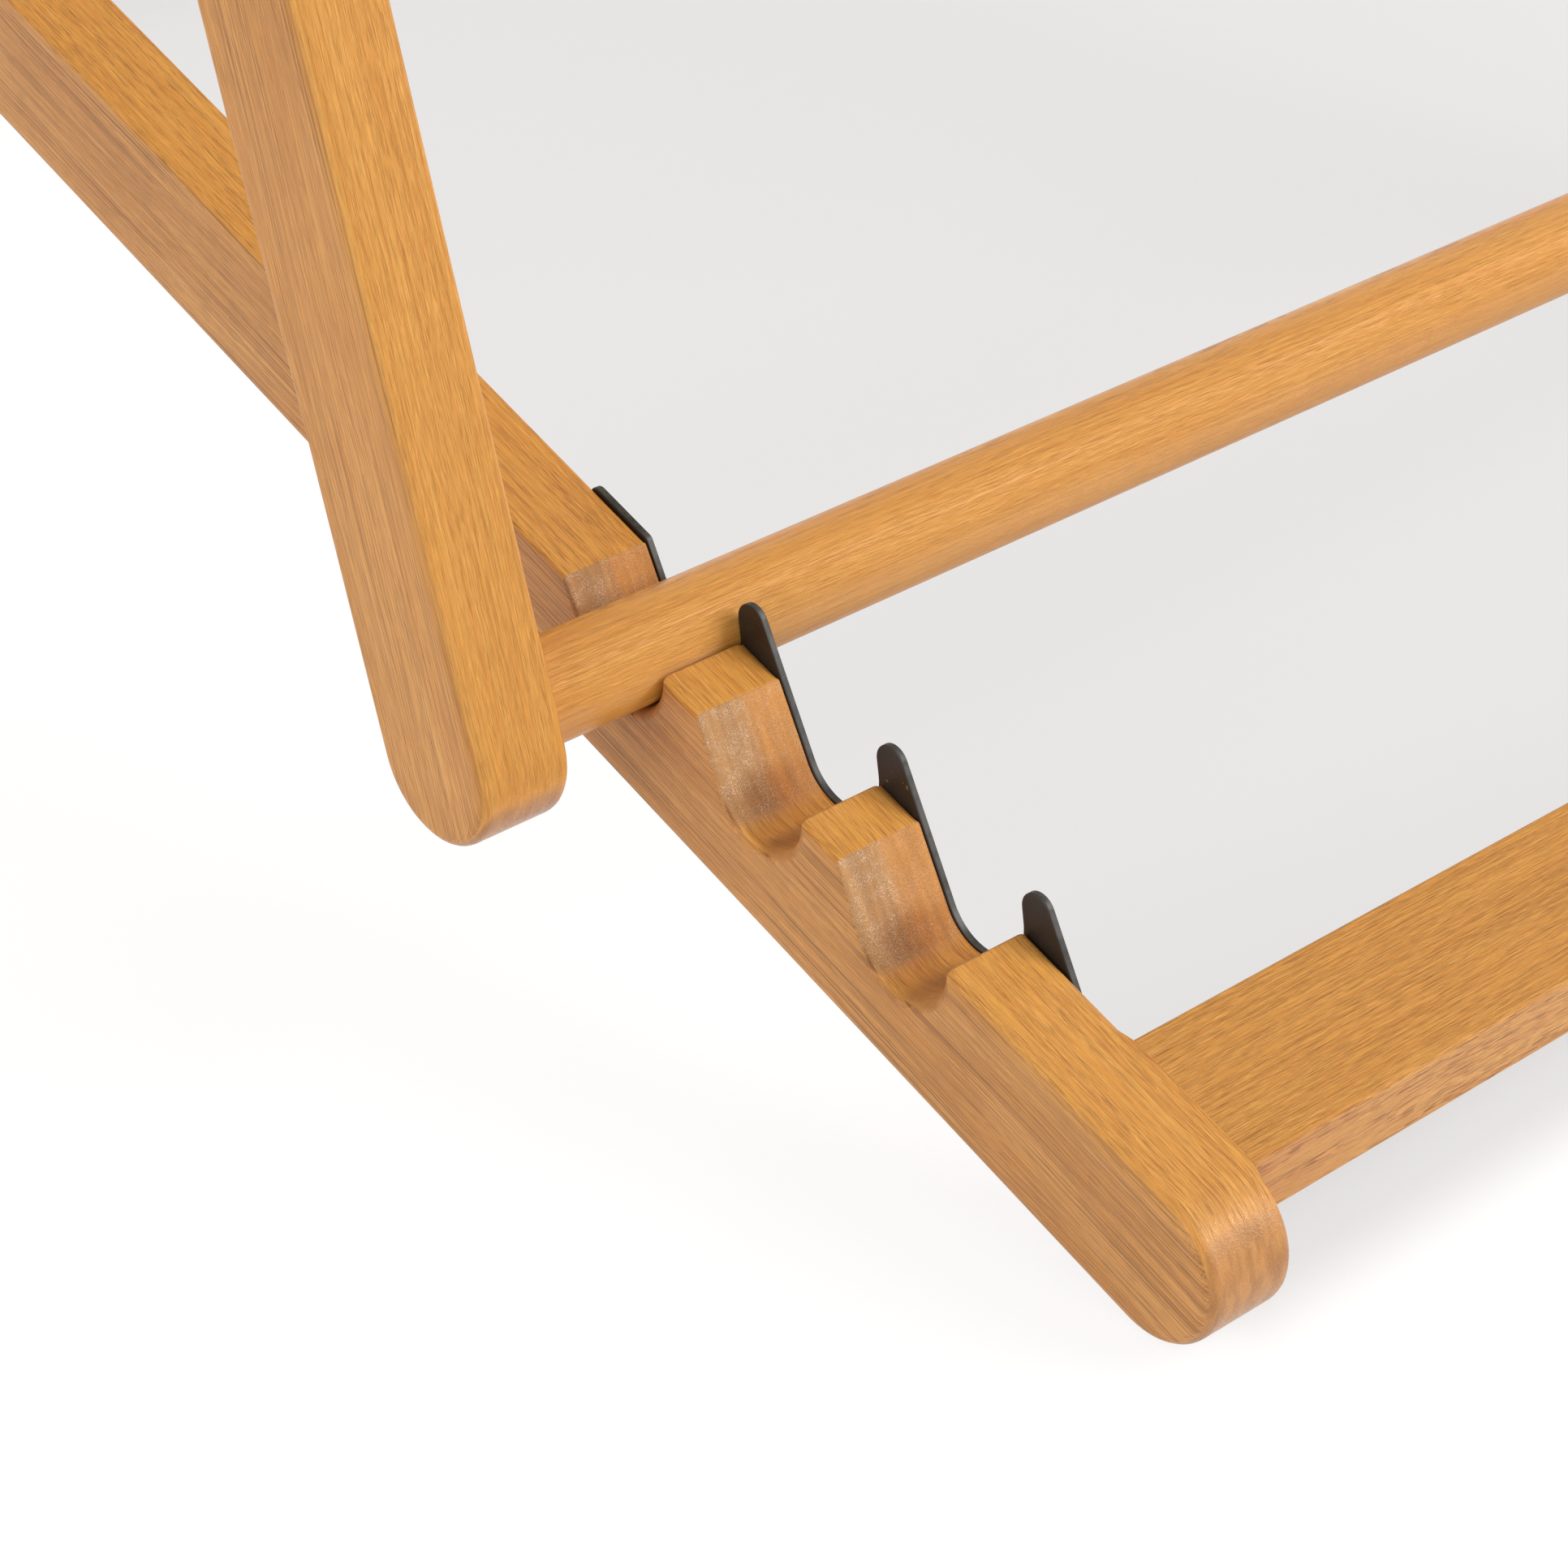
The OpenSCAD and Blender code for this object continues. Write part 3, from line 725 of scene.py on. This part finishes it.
def densified(outline, where, step):
    """Adds points to the outline's straight top between the two y values in where."""
    out = []
    for p, q in zip(outline, outline[1:] + outline[:1]):
        out.append(p)
        low, high = max(where[0], min(p[0], q[0])), min(where[1], max(p[0], q[0]))
        if abs(p[1] - END_R) < TINY and abs(q[1] - END_R) < TINY and high > low:
            n = round((high - low) / step)
            ys = [low + (high - low) * j / max(1, n) for j in range(n + 1)]
            ys = [y for y in ys if min(abs(y - p[0]), abs(y - q[0])) > step / 3]
            out += [(y, END_R) for y in sorted(ys, reverse=bool(p[0] > q[0]))]
    return out


# ---------------------------------------------------------------- plates
def tip(k):
    """The centre of the round end of hook k."""
    run = (END_R + HOOK_RISE - HOOK_R - NOTCH_Z + (PLATE_R + HOOK_R) * math.cos(RAMP)) / math.sin(RAMP)
    return ramp_foot(k, PLATE_R + HOOK_R) + run * RAMP_DIR


PLATE_EASE, PLATE_FRONT_EASE = 0.6 * MM, 2 * MM


def plate_outline():
    """Side view of the notch plate: hooks behind the notches, seats a little smaller than the wood's."""
    off = tip(1) - np.array((notch_y(0), NOTCH_Z))
    turn = math.degrees(math.atan2(off[1], off[0]) - math.acos((PLATE_R + HOOK_R) / np.linalg.norm(off)))
    low, high = END_R - PLATE_SKIRT, END_R + PLATE_PROUD
    rear = -BAR_AT - BAR_W / 2 - PLATE_GAP
    lead = on_ramp(0, PLATE_R, high)[0] - PLATE_LEAD
    foot = ramp_foot(NOTCHES, PLATE_R)
    points = [(rear, low), (rear, foot[1] - (rear - foot[0]) * math.tan(RAMP))]
    corners = {0: ARRIS, 1: PLATE_EASE}
    ramp_deg = math.degrees(RAMP)
    for k in range(NOTCHES, 0, -1):
        points += arc(tip(k), HOOK_R, 90 - ramp_deg, 180 + turn, 10)
        points += arc((notch_y(k - 1), NOTCH_Z), PLATE_R, turn, -90 - ramp_deg, 6)
    front = (on_ramp(0, PLATE_R, high), PLATE_FRONT_EASE), ((lead, high), ARRIS), ((lead, low), ARRIS)
    for corner, radius in front:
        corners[len(points)] = radius
        points.append(tuple(corner))
    return eased(points, corners)


# ---------------------------------------------------------------- making the timber
ROD_SIDES, ROD_BANDS, ROD_END = 96, 24, 0.5 * MM


def rod(name, half, centre, material):
    """A round crossbar along x, from -half to half."""
    bm = bmesh.new()
    bands = [half * (2 * i / ROD_BANDS - 1) for i in range(1, ROD_BANDS)]
    turns = [2 * math.pi * i / ROD_SIDES for i in range(ROD_SIDES)]
    layers = []
    for x in [-half, -half + ROD_END] + bands + [half - ROD_END, half]:
        layers.append([bm.verts.new((x, centre.y + ROD_R * math.cos(a), centre.z + ROD_R * math.sin(a)))
                       for a in turns])
    for a, b in zip(layers, layers[1:]):
        for i in range(ROD_SIDES):
            j = (i + 1) % ROD_SIDES
            bm.faces.new((a[i], a[j], b[j], b[i]))
    bm.faces.new(layers[0][::-1])
    bm.faces.new(layers[-1])
    bmesh.ops.recalc_face_normals(bm, faces=bm.faces)
    return mesh_object(name, bm, material)


def place_piece(obj, body, node):
    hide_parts(node)
    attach(obj, body)


def even(outline, radius):
    return [radius] * len(outline)


def x_range(sign, x, thickness=RAIL_T):
    """From x to x + thickness on the left side of the chair, or its mirror image on the right."""
    return (x, x + thickness) if sign > 0 else (-x - thickness, -x)


beside_bar = (-BAR_AT - BAR_W / 2 - 8 * MM, -BAR_AT + BAR_W / 2 + 8 * MM)
seat_line = densified(seat_rail_outline(), beside_bar, 2 * MM)
seat_outer, seat_inner = seat_edges(seat_line)
back_line = stadium(-FOOT_DOWN, BACK_UP)
prop_line = stadium(-PROP_FOOT, PROP_LEN)
plate_line = plate_outline()
PLATE_EDGE, BAR_EDGE, BAR_EASE = 0.3 * MM, 0.1 * MM, 1.0 * MM
BAR_SUNK = 0.15 * MM

for hand, sign, seed in (("left", 1, 1.0), ("right", -1, 4.0)):
    timber = wood("seat_" + hand, REAR, -SEAT_PITCH, RAIL_AXES, seed, rack=sign)
    edges = (seat_inner, seat_outer) if sign > 0 else (seat_outer, seat_inner)
    obj = slab("seat_rail_%s_timber" % hand, seat_line, *x_range(sign, SEAT_X), *edges,
               REAR, -SEAT_PITCH, timber)
    place_piece(obj, "seat_frame", "seat_rail_" + hand)

    timber = wood("back_" + hand, PIVOT, BACK_PITCH, RAIL_AXES, seed + 1)
    r = even(back_line, ARRIS)
    obj = slab("back_rail_%s_timber" % hand, back_line, *x_range(sign, BACK_X), r, r,
               PIVOT, BACK_PITCH, timber)
    place_piece(obj, "back_frame", "back_rail_" + hand)

    timber = wood("prop_" + hand, DOWEL, PROP_DIR, RAIL_AXES, seed + 2, quarter=0.8, pale=1.03, pores=0.7)
    r = even(prop_line, ARRIS)
    obj = slab("prop_leg_%s_timber" % hand, prop_line, *x_range(sign, PROP_X), r, r,
               DOWEL, PROP_DIR, timber)
    place_piece(obj, "prop_frame", "prop_leg_" + hand)

    r = even(plate_line, PLATE_EDGE)
    obj = slab("notch_plate_%s_steel" % hand, plate_line, *x_range(sign, SEAT_X - PLATE_T, PLATE_T), r, r,
               REAR, -SEAT_PITCH, black_plate())
    place_piece(obj, "seat_frame", "notch_plate_" + hand)

bar_line = eased([(-BAR_W / 2, -BAR_T), (BAR_W / 2, -BAR_T), (BAR_W / 2, 0), (-BAR_W / 2, 0)],
                 {i: BAR_EASE for i in range(4)})
bar_at = along(REAR, -SEAT_PITCH, -BAR_AT, END_R - BAR_SUNK)
r = even(bar_line, BAR_EDGE)
timber = wood("rear_crossbar", bar_at, -SEAT_PITCH, BAR_AXES, 11.0, quarter=0.2)
obj = slab("rear_crossbar_timber", bar_line, -SEAT_X, SEAT_X, r, r, bar_at, -SEAT_PITCH, timber)
place_piece(obj, "seat_frame", "seat_rear_crossbar")

foot_bar = along(PIVOT, BACK_PITCH, -FOOT_DOWN)
for node, body, half, centre, angle, seed in (
        ("prop_dowel", "prop_frame", PROP_X + SOCKET, DOWEL, PROP_DIR, 12.0),
        ("seat_front_bar", "seat_frame", SEAT_X + SOCKET, FRONT_BAR, -SEAT_PITCH, 13.0),
        ("back_top_bar", "back_frame", BACK_X + SOCKET, TOP_BAR, BACK_PITCH, 14.0),
        ("back_foot_bar", "back_frame", BACK_X + SOCKET, foot_bar, BACK_PITCH, 15.0)):
    timber = wood(node, centre, angle, BAR_AXES, seed, quarter=0.0, pale=1.03, pores=0.6, gloss=0.74)
    place_piece(rod(node + "_timber", half, centre, timber), body, node)

steel = zinc_steel()
for name in ("notch_plate_screws", "main_pivot_bolts", "main_pivot_washers", "main_pivot_nuts",
             "prop_pivot_bolts", "prop_pivot_washers", "prop_pivot_nuts"):
    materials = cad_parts[name].data.materials
    materials.clear()
    materials.append(steel)


# ---------------------------------------------------------------- sling
MIDDLE = (FRONT_BAR + TOP_BAR) / 2 - Vector((0, 0, 2 * SLING_SAG))
# half the distance between the hem's two layers, with the cloth a little pressed by the stitches
LAYER = 0.75 * CLOTH_T
STEPS, ACROSS, HEM_STEPS, UNDER_STEPS, PARTING = 150, 64, 36, 6, 8
FULLNESS = 9 * MM
# the cloth's noises: height, cycles per metre across it and along it, and a third coordinate of their own
CREASE, GATHER, RIPPLE = (2.6 * MM, 11, 2.6, 3.1), (1.3 * MM, 46, 7, 8.4), (2.2 * MM, 4, 9, 1.7)
# the lengths in metres, from a hem, over which the cloth comes loose, its gathers die out and they set in
LOOSE_OVER, GATHERS_END_OVER, GATHERS_START_OVER = 0.09, 0.07, 0.012


def hang(t):
    """A point on the hanging line, from the front bar at 0 to the top bar at 1."""
    return (1 - t) ** 2 * FRONT_BAR + 2 * t * (1 - t) * MIDDLE + t ** 2 * TOP_BAR


def sitter_side(t):
    """The cloth's normal on the side of the person who sits in it."""
    slope = (1 - t) * (MIDDLE - FRONT_BAR) + t * (TOP_BAR - MIDDLE)
    return Vector((0, -slope.z, slope.y)).normalized()


def share_at(bar, distance, far):
    """How far along the hanging line, from 0 to 1, the cloth is this distance from the bar."""
    low, high = (0.5, 1.0) if far else (0.0, 0.5)
    for _ in range(40):
        middle = (low + high) / 2
        beyond = (hang(middle) - bar).length > distance
        if beyond == far:
            low = middle
        else:
            high = middle
    return (low + high) / 2


def hem(bar, far):
    """From the free edge of the hem, under the cloth, round the bar, to where the two layers meet."""
    t_meet, t_free = share_at(bar, HEM_OUT, far), share_at(bar, HEM_OUT + HEM_TUCK, far)
    points = [hang(t_free + (t_meet - t_free) * i / UNDER_STEPS) - sitter_side(t_meet) * LAYER
              for i in range(UNDER_STEPS + 1)]
    lean = hang(t_meet) - bar
    start = math.atan2(lean.z, lean.y)
    turn = 1 if far else -1
    for i in range(HEM_STEPS + 1):
        a = start + turn * (HEM_TURN + (2 * math.pi - 2 * HEM_TURN) * i / HEM_STEPS)
        points.append(bar + Vector((0, HEM_R * math.cos(a), HEM_R * math.sin(a))))
    return points, t_meet


def fold_of(kind, x, y):
    height, per_x, per_y, third = kind
    return height * mnoise.noise(Vector((x * per_x, y * per_y, third)))


def make_sling():
    """One strip of canvas with a hem round each bar, a little fuller in its middle, and creased."""
    front, t0 = hem(FRONT_BAR, False)
    top, t1 = hem(TOP_BAR, True)
    shares = [t0 + (t1 - t0) * i / STEPS for i in range(STEPS + 1)]
    layers = [LAYER * max(0.0, 1 - min(i, STEPS - i) / PARTING) for i in range(STEPS + 1)]
    line = front + [hang(t) + sitter_side(t) * layer for t, layer in zip(shares, layers)] + top[::-1]
    lengths = [0.0]
    for a, b in zip(line, line[1:]):
        lengths.append(lengths[-1] + (b - a).length)
    first, last = len(front), len(front) + STEPS
    bm = bmesh.new()
    uv = bm.loops.layers.uv.new("cloth")
    grid = []
    for i, p in enumerate(line):
        free = max(0.0, min(lengths[i] - lengths[first], lengths[last] - lengths[i]))
        loose = 1 - math.exp(-free / LOOSE_OVER)
        near_hem = math.exp(-free / GATHERS_END_OVER)
        past_hem = 1 - math.exp(-free / GATHERS_START_OVER)
        out = sitter_side(shares[i - first]) if first <= i <= last else Vector()
        row = []
        for j in range(ACROSS + 1):
            x = SLING_W * (j / ACROSS - 0.5)
            side = abs(2 * x / SLING_W)
            off = -FULLNESS * (1 - side ** 2) * loose + fold_of(CREASE, x, free) * loose
            off += fold_of(GATHER, x, free) * near_hem * past_hem
            off += fold_of(RIPPLE, math.copysign(1.0, x), free) * loose * side ** 6
            row.append(bm.verts.new(Vector((x, p.y, p.z)) + out * off))
        grid.append(row)
    for i in range(len(line) - 1):
        for j in range(ACROSS):
            corners = (i, j), (i, j + 1), (i + 1, j + 1), (i + 1, j)
            face = bm.faces.new([grid[a][b] for a, b in corners])
            for loop, (a, b) in zip(face.loops, corners):
                loop[uv].uv = (SLING_W * b / ACROSS, lengths[a])
    obj = mesh_object("sling_canvas", bm, canvas(lengths[-1]))
    solid = obj.modifiers.new("thickness", "SOLIDIFY")
    solid.thickness = CLOTH_T
    solid.offset = 0
    return obj, lengths[-1]


sling, sling_run = make_sling()
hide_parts("sling")
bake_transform(sling)


# ---------------------------------------------------------------- stage
# the first value is the grey of the painted soft shadow under the chair, whose edges follow
SHADOW_GREY, FLOOR_GLOW, FLOOR_LIT, BOUNCE = 0.783, 0.84, 0.2, 0.8
REAR_EDGE, FAR_EDGE, FRONT_EDGE = 560 * MM, -500 * MM, -640 * MM
NEAR_EDGE, NEAR_LEAN = 268 * MM, 0.22
SOFT = 90 * MM


def grey(level):
    return (level, level, level, 1)


def seen_directly(k):
    """1 for camera, glossy and transmission rays, which see the background as white."""
    path = k.tree.nodes.new("ShaderNodeLightPath")
    seen = k.math("MAXIMUM", path.outputs["Is Camera Ray"], path.outputs["Is Glossy Ray"])
    return k.math("MAXIMUM", seen, path.outputs["Is Transmission Ray"])


def stage_floor():
    """White floor with a pale grey area under the chair, which is a painted soft shadow. Most of its seen
    brightness is its own, so it stays plain, and the rest is lit, so the object's shadow shows."""
    material, tree = new_tree("floor")
    k = Nodes(tree)
    x, y, _ = k.separate(k.coords("Object"))
    near = k.minus(x, k.times(k.minus(y, REAR_EDGE), NEAR_LEAN))
    # where the painted soft shadow lies under the chair
    painted_shadow_area = k.times(k.span(y, REAR_EDGE + 12 * MM, REAR_EDGE - 14 * MM),
                     k.span(near, NEAR_EDGE + 10 * MM, NEAR_EDGE - 10 * MM),
                     k.span(x, FAR_EDGE - SOFT, FAR_EDGE + SOFT),
                     k.span(y, FRONT_EDGE - SOFT, FRONT_EDGE + SOFT))
    colour = k.mix(painted_shadow_area, grey(1), grey(SHADOW_GREY))
    seen = seen_directly(k)
    diffuse = tree.nodes.new("ShaderNodeBsdfDiffuse")
    k.put(diffuse.inputs["Color"], k.mix(seen, grey(BOUNCE), k.shade(colour, grey(FLOOR_LIT))))
    glow = tree.nodes.new("ShaderNodeEmission")
    k.put(glow.inputs["Color"], colour)
    k.put(glow.inputs["Strength"], k.times(seen, FLOOR_GLOW))
    both = tree.nodes.new("ShaderNodeAddShader")
    k.link(diffuse.outputs[0], both.inputs[0])
    k.link(glow.outputs[0], both.inputs[1])
    out = tree.nodes.new("ShaderNodeOutputMaterial")
    k.link(both.outputs[0], out.inputs["Surface"])
    bm = bmesh.new()
    bmesh.ops.create_grid(bm, x_segments=1, y_segments=1, size=15)
    obj = mesh_object("floor", bm, material, smooth=False)
    obj.location.z = -0.2 * MM


def studio_world(strength):
    """Even white light, and a white background where it is seen directly."""
    world = bpy.data.worlds.new("studio")
    bpy.context.scene.world = world
    world.use_nodes = True
    k = Nodes(world.node_tree)
    background = world.node_tree.nodes["Background"].inputs
    background["Color"].default_value = grey(1)
    k.put(background["Strength"], k.plus(strength, k.times(seen_directly(k), 1 - strength)))


def softbox(name, aim, direction, distance, size, power):
    """An oblong lamp at this distance from aim, in the given direction, which faces aim."""
    lamp = bpy.data.lights.new(name, "AREA")
    lamp.shape = "RECTANGLE"
    lamp.size, lamp.size_y = size
    lamp.energy = power
    obj = bpy.data.objects.new(name, lamp)
    bpy.context.scene.collection.objects.link(obj)
    away = Vector(direction).normalized()
    turned = away.to_track_quat("Z", "Y").to_matrix().to_4x4()
    obj.matrix_world = Matrix.Translation(Vector(aim) + away * distance) @ turned


RACK, SEAT = (0.1, 0.35, 0.1), (0.0, -0.1, 0.4)
stage_floor()
studio_world(0.64)
softbox("key", RACK, (-0.54, 0.60, 0.62), 2.6, (1.5, 1.5), 32)
softbox("strip", RACK, (-0.536, 0.767, 0.354), 2.4, (1.3, 0.13), 10)
softbox("fill", RACK, (0.95, 0.12, 0.26), 2.6, (1.7, 1.3), 15.5)
softbox("front", SEAT, (-0.25, -0.92, 0.30), 3.2, (2.0, 1.5), 34)

# ---------------------------------------------------------------- camera
LENS, SENSOR = 95.373, 36
CAMERA_AT = (0.78616, 1.03788, 0.58564)
CAMERA_RIGHT = Vector((-0.76333059, 0.645588, -0.0232926))
CAMERA_BACK = Vector((0.53648335, 0.65358891, 0.53386061))

camera_data = bpy.data.cameras.new("camera")
camera_data.sensor_width = SENSOR
camera_data.lens = LENS
camera = bpy.data.objects.new("camera", camera_data)
bpy.context.scene.collection.objects.link(camera)
axes = Matrix((CAMERA_RIGHT, CAMERA_BACK.cross(CAMERA_RIGHT), CAMERA_BACK)).transposed().to_4x4()
camera.matrix_world = Matrix.Translation(CAMERA_AT) @ axes
bpy.context.scene.camera = camera
bpy.context.scene.view_settings.view_transform = "Standard"
